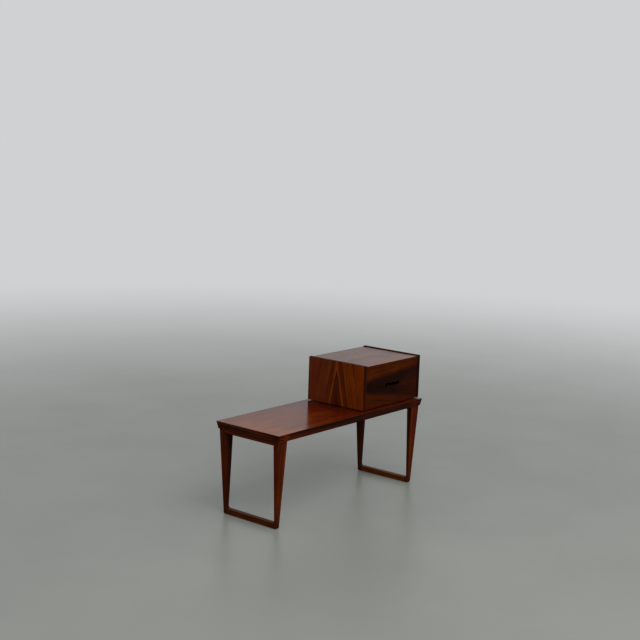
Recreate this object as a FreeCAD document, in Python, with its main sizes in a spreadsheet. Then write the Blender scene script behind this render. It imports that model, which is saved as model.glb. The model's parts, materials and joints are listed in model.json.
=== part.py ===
"""Telephone bench: a long seat on two sled leg frames, with a two-drawer case on its right end.

Millimetres. X runs along the seat, -Y is the front, where the drawers open, and Z is up.
The origin is on the floor, under the middle of the seat.
"""
import FreeCAD
import Part
import Sketcher
import os

document = FreeCAD.newDocument("telephone_bench")

# Driving dimensions, one cell each
SIZES = {
    "seat_length": 1060,
    "seat_depth": 370,
    "seat_height": 425,
    "rim_height": 34,
    "rim_undercut": 6.5,
    "rim_thickness": 36,
    "panel_thickness": 20,
    "panel_lap": 14,
    "cross_rail_width": 50,
    "leg_end_inset": 9,
    "leg_side_inset": 12.5,
    "leg_head_width": 61,
    "leg_head_thickness": 27,
    "leg_foot_width": 21,
    "leg_foot_thickness": 10.5,
    "foot_outer_round": 8,
    "foot_inner_round": 10,
    "foot_shoulder_land": 2,
    "floor_rail_height": 26,
    "floor_tenon_thickness": 7,
    "top_rail_height": 16.5,
    "frame_dowel_diameter": 8,
    "frame_dowel_length": 36,
    "frame_dowel_in_leg": 14,
    "frame_dowel_spread": 28,
    "case_width": 442,
    "case_depth": 337,
    "case_height": 210,
    "case_end_inset": 4,
    "case_back_inset": 11.5,
    "case_lift": 4,
    "case_side_thickness": 16,
    "case_side_proud": 3.5,
    "case_top_thickness": 12,
    "case_bottom_thickness": 12,
    "divider_thickness": 10,
    "edge_band_depth": 5,
    "back_thickness": 5,
    "back_inset": 2,
    "back_rebate": 6,
    "spacer_width": 30,
    "spacer_inset": 70,
    "spacer_end_inset": 25,
    "case_dowel_diameter": 6,
    "case_dowel_length": 26,
    "case_dowel_in_side": 9,
    "front_setback": 2,
    "front_thickness": 18,
    "front_gap": 1.5,
    "front_bottom_gap": 1,
    "front_stop_gap": 0.3,
    "drawer_length": 300,
    "drawer_side_thickness": 11,
    "drawer_back_thickness": 10,
    "drawer_back_inset": 8,
    "drawer_back_housing": 4,
    "drawer_back_drop": 4,
    "drawer_bottom_thickness": 4,
    "drawer_bottom_groove": 5,
    "drawer_bottom_height": 6,
    "drawer_run_gap": 0.3,
    "drawer_head_gap": 3,
    "dovetail_lap": 5,
    "dovetail_tip": 20,
    "dovetail_neck": 15,
    "pull_width": 110,
    "pull_height": 18,
    "pull_round": 5,
    "finger_notch_width": 140,
    "finger_notch_depth": 26,
    "frame_screw_diameter": 4.5,
    "frame_screw_length": 28,
    "frame_screw_spread": 95,
    "case_screw_diameter": 4,
    "case_screw_length": 32,
    "case_screw_spread": 110,
    "countersunk_head_diameter": 8.5,
    "countersunk_head_height": 2.6,
    "back_screw_diameter": 3,
    "back_screw_length": 16,
    "back_screw_spread": 150,
    "round_head_diameter": 6,
    "round_head_height": 1.8,
    "screw_slot_width": 1,
    "screw_slot_depth": 1,
}

FINGER_LAYERS = 5
DOVETAILS_PER_CORNER = 3
DOWELS_PER_CASE_JOINT = 3
PLACE_TOLERANCE = 0.01

sheet = document.addObject("Spreadsheet::Sheet", "Sizes")
for row, (alias, number) in enumerate(SIZES.items(), start=1):
    sheet.set(f"A{row}", str(number))
    sheet.setAlias(f"A{row}", alias)
document.recompute()

# Places in the seat and the leg frames, as expressions on the sheet
SEAT_TOP = "Sizes.seat_height"
SEAT_END = "(Sizes.seat_length / 2)"
SEAT_SIDE = "(Sizes.seat_depth / 2)"
RIM_UNDERSIDE = "(Sizes.seat_height - Sizes.rim_height)"
RIM_INNER_X = f"({SEAT_END} - Sizes.rim_thickness)"
RIM_INNER_Y = f"({SEAT_SIDE} - Sizes.rim_thickness)"
PANEL_UNDERSIDE = "(Sizes.seat_height - Sizes.panel_thickness)"
PANEL_END = f"({RIM_INNER_X} + Sizes.panel_lap)"
PANEL_SIDE = f"({RIM_INNER_Y} + Sizes.panel_lap)"
FRAME_X = f"({SEAT_END} - Sizes.leg_end_inset - Sizes.leg_head_width / 2)"
LEG_INNER_Y = f"({SEAT_SIDE} - Sizes.leg_side_inset - Sizes.leg_head_thickness)"
LEG_OUTER_Y = f"({SEAT_SIDE} - Sizes.leg_side_inset)"
FOOT_OUTER_Y = f"({LEG_INNER_Y} + Sizes.leg_foot_thickness)"
SHOULDER_Y = f"({LEG_INNER_Y} - Sizes.foot_inner_round - Sizes.foot_shoulder_land)"
LEG_LEAN = f"((Sizes.leg_head_thickness - Sizes.leg_foot_thickness) / {RIM_UNDERSIDE})"
LEG_SPREAD = f"((Sizes.leg_head_width - Sizes.leg_foot_width) / 2 / {RIM_UNDERSIDE})"
TOP_RAIL_UNDERSIDE = f"({RIM_UNDERSIDE} - Sizes.top_rail_height)"
FRAME_SCREW_X = f"({SEAT_END} - (Sizes.rim_thickness + Sizes.rim_undercut) / 2)"

# Places in the drawer case and the drawers
CASE_RIGHT = f"({SEAT_END} - Sizes.case_end_inset)"
CASE_LEFT = f"({CASE_RIGHT} - Sizes.case_width)"
CASE_MIDDLE_X = f"({CASE_RIGHT} - Sizes.case_width / 2)"
CASE_BACK = f"({SEAT_SIDE} - Sizes.case_back_inset)"
CASE_FRONT = f"({CASE_BACK} - Sizes.case_depth)"
CASE_MIDDLE_Y = f"({CASE_BACK} - Sizes.case_depth / 2)"
CASE_FLOOR = "(Sizes.seat_height + Sizes.case_lift)"
CASE_SIDE_TOP = f"({CASE_FLOOR} + Sizes.case_height)"
CASE_TOP_FACE = f"({CASE_SIDE_TOP} - Sizes.case_side_proud)"
CASE_TOP_UNDERSIDE = f"({CASE_TOP_FACE} - Sizes.case_top_thickness)"
CASE_BOTTOM_FACE = f"({CASE_FLOOR} + Sizes.case_bottom_thickness)"
INNER_LEFT = f"({CASE_LEFT} + Sizes.case_side_thickness)"
INNER_RIGHT = f"({CASE_RIGHT} - Sizes.case_side_thickness)"
BACK_PANEL_REAR = f"({CASE_BACK} - Sizes.back_inset)"
BACK_PANEL_FRONT = f"({BACK_PANEL_REAR} - Sizes.back_thickness)"
FRONT_FACE = f"({CASE_FRONT} + Sizes.front_setback)"
FRONT_REAR = f"({FRONT_FACE} + Sizes.front_thickness)"
CARCASE_FRONT = f"({FRONT_REAR} + Sizes.front_stop_gap)"
DRAWER_LEFT = f"({INNER_LEFT} + Sizes.front_gap)"
DRAWER_RIGHT = f"({INNER_RIGHT} - Sizes.front_gap)"
DRAWER_REAR = f"({FRONT_FACE} + Sizes.drawer_length)"
DRAWER_BACK_REAR = f"({DRAWER_REAR} - Sizes.drawer_back_inset)"
DRAWER_BACK_FRONT = f"({DRAWER_BACK_REAR} - Sizes.drawer_back_thickness)"
FRONTS_BOTTOM = f"({CASE_FLOOR} + Sizes.front_bottom_gap)"
FRONTS_TOP = f"({CASE_TOP_UNDERSIDE} - Sizes.front_gap)"
FRONTS_MIDDLE = f"(({FRONTS_BOTTOM} + {FRONTS_TOP}) / 2)"
DIVIDER_UNDERSIDE = f"({FRONTS_MIDDLE} - Sizes.divider_thickness / 2)"
DIVIDER_FACE = f"({FRONTS_MIDDLE} + Sizes.divider_thickness / 2)"
DOVETAIL_LENGTH = "(Sizes.front_thickness - Sizes.dovetail_lap)"

AXIS_X = FreeCAD.Rotation(FreeCAD.Vector(0, 1, 0), 90)
AXIS_Y = FreeCAD.Rotation(FreeCAD.Vector(1, 0, 0), -90)
AXIS_MINUS_Y = FreeCAD.Rotation(FreeCAD.Vector(1, 0, 0), 90)
AXIS_UP = FreeCAD.Rotation()

pieces = []


def negative(expression):
    """The mirror image of a place, on the other side of the middle plane."""
    return f"(-1 * {expression})"


def mirrored(sign, low, high):
    """A span on the positive side of the middle plane, or its mirror image."""
    return (low, high) if sign > 0 else (negative(high), negative(low))


def signed(sign, expression):
    """A place on the positive side of the middle plane, or its mirror image."""
    return expression if sign > 0 else negative(expression)


def bind(target, **links):
    """Bind properties of an object to expressions on the sheet."""
    for name, expression in links.items():
        target.setExpression(name.replace("_", "."), expression)


def place(target, x, y, z, rotation=AXIS_UP):
    """Put an object's own origin at a place given by expressions."""
    target.Placement = FreeCAD.Placement(FreeCAD.Vector(), rotation)
    bind(target, Placement_Base_x=x, Placement_Base_y=y, Placement_Base_z=z)
    return target


def block(name, x_span, y_span, z_span):
    """A box between two places along each axis."""
    box = document.addObject("Part::Box", name)
    bind(
        box,
        Length=f"{x_span[1]} - {x_span[0]}",
        Width=f"{y_span[1]} - {y_span[0]}",
        Height=f"{z_span[1]} - {z_span[0]}",
    )
    return place(box, x_span[0], y_span[0], z_span[0])


def rod(name, diameter, length, spot, rotation=AXIS_UP):
    """A cylinder that starts at a spot and runs along the turned axis."""
    cylinder = document.addObject("Part::Cylinder", name)
    bind(cylinder, Radius=f"{diameter} / 2", Height=length)
    return place(cylinder, *spot, rotation)


def joined(name, parts):
    """One solid from several that touch or overlap."""
    union = document.addObject("Part::MultiFuse", name)
    union.Shapes = parts
    union.Refine = True
    return union


def common(name, first, second):
    """What two solids share."""
    overlap = document.addObject("Part::Common", name)
    overlap.Base = first
    overlap.Tool = second
    return overlap


def cut(name, base, tools):
    """A solid with one or more others taken out of it."""
    result = document.addObject("Part::Cut", name)
    result.Base = base
    result.Tool = tools[0] if len(tools) == 1 else group(f"{name}_tools", tools)
    result.Refine = True
    return result


def group(name, solids):
    """Several separate solids held together as one object."""
    compound = document.addObject("Part::Compound", name)
    compound.Links = solids
    return compound


def piece(label, shape_object):
    """Register a finished piece under the name that its file takes."""
    shape_object.Label = label
    pieces.append(shape_object)


def number_of(expression):
    """The number that an expression stands for now."""
    return float(sheet.evalExpression(expression))


def near(value, expression):
    """Whether a coordinate lies at a place given by an expression."""
    return abs(value - number_of(expression)) < PLACE_TOLERANCE


def new_body(name, x):
    """A body whose own middle plane stands at a place along X."""
    body = document.addObject("PartDesign::Body", name)
    return place(body, x, "0", "0")


def outline(body, name, role, corners):
    """A closed polygon sketch on one of the body's own planes, its corners given by expressions."""
    plane = next(part for part in body.Origin.OriginFeatures if part.Role == role)
    sketch = body.newObject("Sketcher::SketchObject", name)
    sketch.AttachmentSupport = [(plane, "")]
    sketch.MapMode = "FlatFace"
    numbers = [[number_of(entry) for entry in corner] for corner in corners]
    points = [FreeCAD.Vector(across, upward, 0) for across, upward in numbers]
    for start, end in zip(points, points[1:] + points[:1]):
        sketch.addGeometry(Part.LineSegment(start, end), False)
    for index in range(len(corners)):
        following = (index + 1) % len(corners)
        sketch.addConstraint(Sketcher.Constraint("Coincident", index, 2, following, 1))
    for index, corner in enumerate(corners):
        for kind, expression, number in zip(("DistanceX", "DistanceY"), corner, numbers[index]):
            datum = sketch.addConstraint(Sketcher.Constraint(kind, -1, 1, index, 1, number))
            sketch.renameConstraint(datum, f"{kind}_{index}")
            sketch.setExpression(f"Constraints.{kind}_{index}", expression)
    return sketch


def padded(body, name, sketch, length):
    """A sketch padded evenly to both sides of its plane."""
    pad = body.newObject("PartDesign::Pad", name)
    pad.Profile = sketch
    pad.SideType = "Symmetric"
    bind(pad, Length=length)
    return pad


def cut_through(body, name, sketch):
    """A sketch cut right through the body, to both sides of its plane."""
    pocket = body.newObject("PartDesign::Pocket", name)
    pocket.Profile = sketch
    pocket.SideType = "Symmetric"
    pocket.Type = "ThroughAll"
    return pocket


def rounded(body, name, base, is_edge, radius):
    """Round the edges of a body's last feature whose middle point the test accepts."""
    document.recompute()
    names = [
        f"Edge{index}"
        for index, edge in enumerate(base.Shape.Edges, start=1)
        if is_edge(edge.CenterOfMass)
    ]
    fillet = body.newObject("PartDesign::Fillet", name)
    fillet.Base = (base, names)
    bind(fillet, Radius=radius)
    return fillet


# Screws: each is a slotted solid, and its unslotted shape is the hole that it fills

def countersunk_screw(name, spot, kind):
    """A flat-headed wood screw driven upwards, its head flush with the underside at the spot."""
    x, y, z = spot
    shank = rod(f"{name}_shank", f"Sizes.{kind}_diameter", f"Sizes.{kind}_length", spot)
    head = document.addObject("Part::Cone", f"{name}_head")
    bind(
        head,
        Radius1="Sizes.countersunk_head_diameter / 2",
        Radius2=f"Sizes.{kind}_diameter / 2",
        Height="Sizes.countersunk_head_height",
    )
    place(head, *spot)
    whole = joined(f"{name}_whole", [shank, head])
    slot = block(
        f"{name}_slot",
        (f"({x} - Sizes.countersunk_head_diameter / 2)", f"({x} + Sizes.countersunk_head_diameter / 2)"),
        (f"({y} - Sizes.screw_slot_width / 2)", f"({y} + Sizes.screw_slot_width / 2)"),
        (z, f"({z} + Sizes.screw_slot_depth)"),
    )
    return whole, cut(name, whole, [slot])


def round_headed_screw(name, spot):
    """A round-headed screw driven forwards into the case, its head on the back panel."""
    x, y, z = spot
    shank = rod(f"{name}_shank", "Sizes.back_screw_diameter", "Sizes.back_screw_length", spot, AXIS_MINUS_Y)
    head = rod(f"{name}_head", "Sizes.round_head_diameter", "Sizes.round_head_height", spot, AXIS_Y)
    whole = joined(f"{name}_whole", [shank, head])
    slot = block(
        f"{name}_slot",
        (f"({x} - Sizes.round_head_diameter / 2)", f"({x} + Sizes.round_head_diameter / 2)"),
        (f"({y} + Sizes.round_head_height - Sizes.screw_slot_depth)", f"({y} + Sizes.round_head_height)"),
        (f"({z} - Sizes.screw_slot_width / 2)", f"({z} + Sizes.screw_slot_width / 2)"),
    )
    return shank, cut(name, whole, [slot])


# Seat: rim rails around a panel

def rim_block():
    """The whole rim as one block whose four outer faces lean in towards the floor."""
    wedge = document.addObject("Part::Wedge", "rim_block")
    foot_x = f"({SEAT_END} - Sizes.rim_undercut)"
    foot_y = f"({SEAT_SIDE} - Sizes.rim_undercut)"
    bind(
        wedge,
        Xmin=negative(foot_x),
        Xmax=foot_x,
        Zmin=negative(foot_y),
        Zmax=foot_y,
        X2min=negative(SEAT_END),
        X2max=SEAT_END,
        Z2min=negative(SEAT_SIDE),
        Z2max=SEAT_SIDE,
        Ymin="0",
        Ymax="Sizes.rim_height",
    )
    return place(wedge, "0", "0", RIM_UNDERSIDE, AXIS_MINUS_Y)


def corner_layers(name, x_sign, y_sign, layers):
    """Layers of a rim corner: the square where an end rail and a long rail cross."""
    squares = []
    for layer in layers:
        level = f"({RIM_UNDERSIDE} + Sizes.rim_height * {layer} / {FINGER_LAYERS})"
        next_level = f"({RIM_UNDERSIDE} + Sizes.rim_height * {layer + 1} / {FINGER_LAYERS})"
        squares.append(block(
            f"{name}_{layer}",
            mirrored(x_sign, RIM_INNER_X, SEAT_END),
            mirrored(y_sign, RIM_INNER_Y, SEAT_SIDE),
            (level, next_level),
        ))
    return squares


def make_seat(case_screw_holes, frame_screw_holes):
    """The rim, finger jointed at its corners, the panel in its rebate and the cross rail."""
    rim = rim_block()
    panel_blank = block(
        "panel_blank",
        (negative(PANEL_END), PANEL_END),
        (negative(PANEL_SIDE), PANEL_SIDE),
        (PANEL_UNDERSIDE, SEAT_TOP),
    )
    piece("seat_panel", cut("panel", panel_blank, case_screw_holes))
    rim_levels = (RIM_UNDERSIDE, SEAT_TOP)
    whole_length = (negative(SEAT_END), SEAT_END)
    whole_depth = (negative(SEAT_SIDE), SEAT_SIDE)
    end_layers = range(1, FINGER_LAYERS, 2)
    long_layers = range(0, FINGER_LAYERS, 2)
    for side, sign in (("front", -1), ("back", 1)):
        strip = block(f"{side}_strip", whole_length, mirrored(sign, RIM_INNER_Y, SEAT_SIDE), rim_levels)
        taken = [panel_blank]
        for end, end_sign in (("left", -1), ("right", 1)):
            taken += corner_layers(f"{side}_rail_gap_{end}", end_sign, sign, end_layers)
        rail = cut(f"{side}_rail", common(f"{side}_rail_blank", rim, strip), taken)
        piece(f"seat_{side}_rail", rail)
    for end, sign in (("left", -1), ("right", 1)):
        strip = block(f"{end}_strip", mirrored(sign, RIM_INNER_X, SEAT_END), whole_depth, rim_levels)
        taken = [panel_blank] + frame_screw_holes[end]
        for side, side_sign in (("front", -1), ("back", 1)):
            taken += corner_layers(f"{end}_rail_gap_{side}", sign, side_sign, long_layers)
        rail = cut(f"{end}_end_rail", common(f"{end}_rail_blank", rim, strip), taken)
        piece(f"seat_{end}_end_rail", rail)
    piece("seat_cross_rail", block(
        "cross_rail",
        ("(-1 * Sizes.cross_rail_width / 2)", "(Sizes.cross_rail_width / 2)"),
        (negative(RIM_INNER_Y), RIM_INNER_Y),
        (RIM_UNDERSIDE, PANEL_UNDERSIDE),
    ))


# Leg frames: tapered legs, a sled rail on the floor and a bearer under the seat

def foot_slot(name, x, y_sign):
    """The open mortise through a foot, which the floor rail's tenon fills."""
    return block(
        name,
        (f"({x} - Sizes.floor_tenon_thickness / 2)", f"({x} + Sizes.floor_tenon_thickness / 2)"),
        mirrored(y_sign, SHOULDER_Y, LEG_OUTER_Y),
        ("0", "Sizes.floor_rail_height"),
    )


def leg_blank(name, x, y_sign):
    """A leg, upright on its inner face and narrowing downwards on the other three."""
    body = new_body(f"{name}_body", x)
    corners = [
        (signed(y_sign, LEG_INNER_Y), RIM_UNDERSIDE),
        (signed(y_sign, LEG_OUTER_Y), RIM_UNDERSIDE),
        (signed(y_sign, FOOT_OUTER_Y), "0"),
        (signed(y_sign, SHOULDER_Y), "0"),
        (signed(y_sign, SHOULDER_Y), "Sizes.floor_rail_height"),
        (signed(y_sign, LEG_INNER_Y), "Sizes.floor_rail_height"),
    ]
    profile = outline(body, f"{name}_profile", "YZ_Plane", corners)
    pad = padded(body, f"{name}_pad", profile, "Sizes.leg_head_width")
    for end, x_sign in (("outer", -1), ("inner", 1)):
        waste = outline(body, f"{name}_{end}_taper", "XZ_Plane", [
            (signed(x_sign, "(Sizes.leg_foot_width / 2)"), "0"),
            (signed(x_sign, "(Sizes.leg_head_width / 2)"), RIM_UNDERSIDE),
            (signed(x_sign, "Sizes.leg_head_width"), RIM_UNDERSIDE),
            (signed(x_sign, "Sizes.leg_head_width"), "0"),
        ])
        pad = cut_through(body, f"{name}_{end}_waste", waste)
    outer_round = rounded(
        body, f"{name}_outer_round", pad,
        lambda middle: near(abs(middle.y), FOOT_OUTER_Y) and near(middle.z, "0"),
        "Sizes.foot_outer_round",
    )
    rounded(
        body, f"{name}_inner_round", outer_round,
        lambda middle: near(abs(middle.y), LEG_INNER_Y) and near(middle.z, "Sizes.floor_rail_height"),
        "Sizes.foot_inner_round",
    )
    return body


def floor_rail_blank(name, x):
    """The sled rail, flush with the feet, with two tenons that end in the slope of their outer faces."""
    body = new_body(f"{name}_body", x)
    half_foot = "(Sizes.leg_foot_width / 2)"
    half_head = f"({half_foot} + {LEG_SPREAD} * Sizes.floor_rail_height)"
    profile = outline(body, f"{name}_profile", "XZ_Plane", [
        (negative(half_foot), "0"),
        (half_foot, "0"),
        (half_head, "Sizes.floor_rail_height"),
        (negative(half_head), "Sizes.floor_rail_height"),
    ])
    pad = padded(body, f"{name}_pad", profile, f"{LEG_OUTER_Y} * 2")
    reach = f"({FOOT_OUTER_Y} + {LEG_LEAN} * Sizes.floor_rail_height)"
    for y_sign in (-1, 1):
        slope = outline(body, f"{name}_slope_{y_sign + 1}", "YZ_Plane", [
            (signed(y_sign, FOOT_OUTER_Y), "0"),
            (signed(y_sign, reach), "Sizes.floor_rail_height"),
            (signed(y_sign, LEG_OUTER_Y), "Sizes.floor_rail_height"),
            (signed(y_sign, LEG_OUTER_Y), "0"),
        ])
        pad = cut_through(body, f"{name}_slope_waste_{y_sign + 1}", slope)
        for x_sign in (-1, 1):
            cheek = outline(body, f"{name}_cheek_{y_sign + 1}{x_sign + 1}", "XY_Plane", [
                (signed(x_sign, "(Sizes.floor_tenon_thickness / 2)"), signed(y_sign, SHOULDER_Y)),
                (signed(x_sign, "Sizes.leg_head_width"), signed(y_sign, SHOULDER_Y)),
                (signed(x_sign, "Sizes.leg_head_width"), signed(y_sign, LEG_OUTER_Y)),
                (signed(x_sign, "(Sizes.floor_tenon_thickness / 2)"), signed(y_sign, LEG_OUTER_Y)),
            ])
            pad = cut_through(body, f"{name}_cheek_waste_{y_sign + 1}{x_sign + 1}", cheek)
    rounded(
        body, f"{name}_outer_round", pad,
        lambda middle: near(abs(middle.y), FOOT_OUTER_Y) and near(middle.z, "0"),
        "Sizes.foot_outer_round",
    )
    return body


def top_rail_blank(name, x):
    """The bearer between the leg heads, as wide as they are and tapered like them."""
    body = new_body(f"{name}_body", x)
    half_foot = f"(Sizes.leg_foot_width / 2 + {LEG_SPREAD} * {TOP_RAIL_UNDERSIDE})"
    profile = outline(body, f"{name}_profile", "XZ_Plane", [
        (negative(half_foot), TOP_RAIL_UNDERSIDE),
        (half_foot, TOP_RAIL_UNDERSIDE),
        ("(Sizes.leg_head_width / 2)", RIM_UNDERSIDE),
        ("(-1 * Sizes.leg_head_width / 2)", RIM_UNDERSIDE),
    ])
    padded(body, f"{name}_pad", profile, f"{LEG_INNER_Y} * 2")
    return body


def frame_dowel(name, x, x_sign, y_sign):
    """A dowel from inside a leg head into the end of the top rail."""
    spot = (
        f"({x} + {x_sign} * Sizes.frame_dowel_spread / 2)",
        signed(y_sign, f"({LEG_INNER_Y} + Sizes.frame_dowel_in_leg)"),
        f"({RIM_UNDERSIDE} - Sizes.top_rail_height / 2)",
    )
    turn = AXIS_MINUS_Y if y_sign > 0 else AXIS_Y
    return rod(name, "Sizes.frame_dowel_diameter", "Sizes.frame_dowel_length", spot, turn)


def make_leg_frames():
    """Both frames, with their dowels and the screws that hold them to the seat."""
    all_dowels = []
    all_screws = []
    screw_holes = {}
    for end, end_sign in (("left", -1), ("right", 1)):
        x = signed(end_sign, FRAME_X)
        dowels = {}
        for side, y_sign in (("front", -1), ("back", 1)):
            dowels[side] = [
                frame_dowel(f"{end}_{side}_dowel_{x_sign + 1}", x, x_sign, y_sign)
                for x_sign in (-1, 1)
            ]
            name = f"{end}_{side}_leg"
            slot = foot_slot(f"{name}_slot", x, y_sign)
            piece(name, cut(f"{name}_cut", leg_blank(name, x, y_sign), [slot] + dowels[side]))
        screws = [
            countersunk_screw(
                f"{end}_frame_screw_{step + 1}",
                (signed(end_sign, FRAME_SCREW_X), f"({step} * Sizes.frame_screw_spread)", TOP_RAIL_UNDERSIDE),
                "frame_screw",
            )
            for step in (-1, 0, 1)
        ]
        screw_holes[end] = [whole for whole, slotted in screws]
        piece(f"{end}_floor_rail", floor_rail_blank(f"{end}_floor_rail", x))
        name = f"{end}_top_rail"
        taken = dowels["front"] + dowels["back"] + screw_holes[end]
        piece(name, cut(f"{name}_cut", top_rail_blank(name, x), taken))
        all_dowels += dowels["front"] + dowels["back"]
        all_screws += [slotted for whole, slotted in screws]
    piece("frame_dowels", group("frame_dowels_group", all_dowels))
    piece("frame_screws", group("frame_screws_group", all_screws))
    return screw_holes


# Drawer case

def panel_dowels(name, height):
    """The dowels of one case panel, at both ends, at the height of its middle."""
    dowels = []
    for end in ("left", "right"):
        if end == "left":
            x = f"({INNER_LEFT} - Sizes.case_dowel_in_side)"
        else:
            x = f"({INNER_RIGHT} + Sizes.case_dowel_in_side - Sizes.case_dowel_length)"
        for step in range(DOWELS_PER_CASE_JOINT):
            share = (step + 0.5) / DOWELS_PER_CASE_JOINT
            y = f"({CARCASE_FRONT} + ({BACK_PANEL_FRONT} - {CARCASE_FRONT}) * {share})"
            dowels.append(rod(
                f"{name}_dowel_{end}_{step}",
                "Sizes.case_dowel_diameter",
                "Sizes.case_dowel_length",
                (x, y, height),
                AXIS_X,
            ))
    return dowels


def make_case():
    """The case, its joints and what holds it to the seat. Returns the holes through the seat panel."""
    between = (INNER_LEFT, INNER_RIGHT)
    inside_depth = (CARCASE_FRONT, BACK_PANEL_FRONT)
    top_dowels = panel_dowels("top", f"({CASE_TOP_FACE} - Sizes.case_top_thickness / 2)")
    bottom_dowels = panel_dowels("bottom", f"({CASE_FLOOR} + Sizes.case_bottom_thickness / 2)")
    divider_dowels = panel_dowels("divider", FRONTS_MIDDLE)
    all_dowels = top_dowels + bottom_dowels + divider_dowels
    piece("case_dowels", group("case_dowels_group", all_dowels))

    back_blank = block(
        "back_blank",
        (f"({INNER_LEFT} - Sizes.back_rebate)", f"({INNER_RIGHT} + Sizes.back_rebate)"),
        (BACK_PANEL_FRONT, BACK_PANEL_REAR),
        (CASE_FLOOR, CASE_TOP_UNDERSIDE),
    )
    rebate = block(
        "back_rebate",
        (f"({INNER_LEFT} - Sizes.back_rebate)", f"({INNER_RIGHT} + Sizes.back_rebate)"),
        (BACK_PANEL_FRONT, CASE_BACK),
        (CASE_FLOOR, CASE_TOP_UNDERSIDE),
    )
    back_screws = {}
    for height_name, height in (
        ("bottom", f"({CASE_FLOOR} + Sizes.case_bottom_thickness / 2)"),
        ("divider", FRONTS_MIDDLE),
    ):
        back_screws[height_name] = [
            round_headed_screw(
                f"back_screw_{height_name}_{step + 1}",
                (f"({CASE_MIDDLE_X} + {step} * Sizes.back_screw_spread)", BACK_PANEL_REAR, height),
            )
            for step in (-1, 0, 1)
        ]
    every_back_screw = back_screws["bottom"] + back_screws["divider"]
    piece("case_back", cut("case_back_cut", back_blank, [hole for hole, slotted in every_back_screw]))
    piece("case_back_screws", group("back_screws_group", [slotted for hole, slotted in every_back_screw]))

    spacer_spans = {
        "left": (
            f"({CASE_LEFT} + Sizes.spacer_inset)",
            f"({CASE_LEFT} + Sizes.spacer_inset + Sizes.spacer_width)",
        ),
        "right": (
            f"({CASE_RIGHT} - Sizes.spacer_inset - Sizes.spacer_width)",
            f"({CASE_RIGHT} - Sizes.spacer_inset)",
        ),
    }
    spacer_depth = (f"({CASE_FRONT} + Sizes.spacer_end_inset)", f"({CASE_BACK} - Sizes.spacer_end_inset)")
    case_screws = []
    for end, span in spacer_spans.items():
        screws = [
            countersunk_screw(
                f"{end}_case_screw_{step + 1}",
                (
                    f"(({span[0]} + {span[1]}) / 2)",
                    f"({CASE_MIDDLE_Y} + {step} * Sizes.case_screw_spread)",
                    PANEL_UNDERSIDE,
                ),
                "case_screw",
            )
            for step in (-1, 1)
        ]
        case_screws += screws
        spacer = block(f"{end}_spacer", span, spacer_depth, (SEAT_TOP, CASE_FLOOR))
        piece(f"case_{end}_spacer", cut(f"{end}_spacer_cut", spacer, [whole for whole, slotted in screws]))
    piece("case_screws", group("case_screws_group", [slotted for whole, slotted in case_screws]))

    top_blank = block("top_blank", between, (FRONT_FACE, CASE_BACK), (CASE_TOP_UNDERSIDE, CASE_TOP_FACE))
    piece("case_top", cut("case_top_cut", top_blank, top_dowels))
    bottom_blank = block("bottom_blank", between, inside_depth, (CASE_FLOOR, CASE_BOTTOM_FACE))
    bottom_taken = bottom_dowels + [whole for whole, slotted in case_screws]
    bottom_taken += [hole for hole, slotted in back_screws["bottom"]]
    piece("case_bottom", cut("case_bottom_cut", bottom_blank, bottom_taken))
    divider_blank = block("divider_blank", between, inside_depth, (DIVIDER_UNDERSIDE, DIVIDER_FACE))
    finger_notch = block(
        "finger_notch",
        (
            f"({CASE_MIDDLE_X} - Sizes.finger_notch_width / 2)",
            f"({CASE_MIDDLE_X} + Sizes.finger_notch_width / 2)",
        ),
        (CARCASE_FRONT, f"({CARCASE_FRONT} + Sizes.finger_notch_depth)"),
        (DIVIDER_UNDERSIDE, DIVIDER_FACE),
    )
    divider_taken = divider_dowels + [finger_notch]
    divider_taken += [hole for hole, slotted in back_screws["divider"]]
    piece("case_divider", cut("case_divider_cut", divider_blank, divider_taken))

    side_spans = {"left": (CASE_LEFT, INNER_LEFT), "right": (INNER_RIGHT, CASE_RIGHT)}
    side_levels = (CASE_FLOOR, CASE_SIDE_TOP)
    band_rear = f"({CASE_FRONT} + Sizes.edge_band_depth)"
    for end, span in side_spans.items():
        side_blank = block(f"{end}_side_blank", span, (band_rear, CASE_BACK), side_levels)
        piece(f"case_{end}_side", cut(f"case_{end}_side_cut", side_blank, [rebate] + all_dowels))
        band = block(f"{end}_edge_band", span, (CASE_FRONT, band_rear), side_levels)
        piece(f"case_{end}_edge_band", band)
    return [whole for whole, slotted in case_screws]


# Drawers

def pull_slot():
    """The finger opening that both drawer fronts share, half in each."""
    body = new_body("pull_slot", CASE_MIDDLE_X)
    half = "(Sizes.pull_width / 2)"
    low = f"({FRONTS_MIDDLE} - Sizes.pull_height / 2)"
    high = f"({FRONTS_MIDDLE} + Sizes.pull_height / 2)"
    profile = outline(body, "pull_profile", "XZ_Plane", [
        (negative(half), low),
        (half, low),
        (half, high),
        (negative(half), high),
    ])
    pad = padded(body, "pull_pad", profile, "Sizes.case_depth * 2")
    rounded(
        body, "pull_round", pad,
        lambda middle: near(middle.y, "0") and near(abs(middle.x), half),
        "Sizes.pull_round",
    )
    return body


def dovetails(name, x_left, bottom, top):
    """The tails on the front end of one drawer side, wider at their tips."""
    tails = []
    for step in range(DOVETAILS_PER_CORNER):
        share = (step + 0.5) / DOVETAILS_PER_CORNER
        tail = document.addObject("Part::Wedge", f"{name}_{step}")
        bind(
            tail,
            Xmin="0",
            X2min="0",
            Xmax="Sizes.drawer_side_thickness",
            X2max="Sizes.drawer_side_thickness",
            Ymin="0",
            Ymax=DOVETAIL_LENGTH,
            Zmin="-1 * Sizes.dovetail_tip / 2",
            Zmax="Sizes.dovetail_tip / 2",
            Z2min="-1 * Sizes.dovetail_neck / 2",
            Z2max="Sizes.dovetail_neck / 2",
        )
        middle = f"({bottom} + ({top} - {bottom}) * {share})"
        tails.append(place(tail, x_left, f"({FRONT_REAR} - {DOVETAIL_LENGTH})", middle))
    return tails


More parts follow.
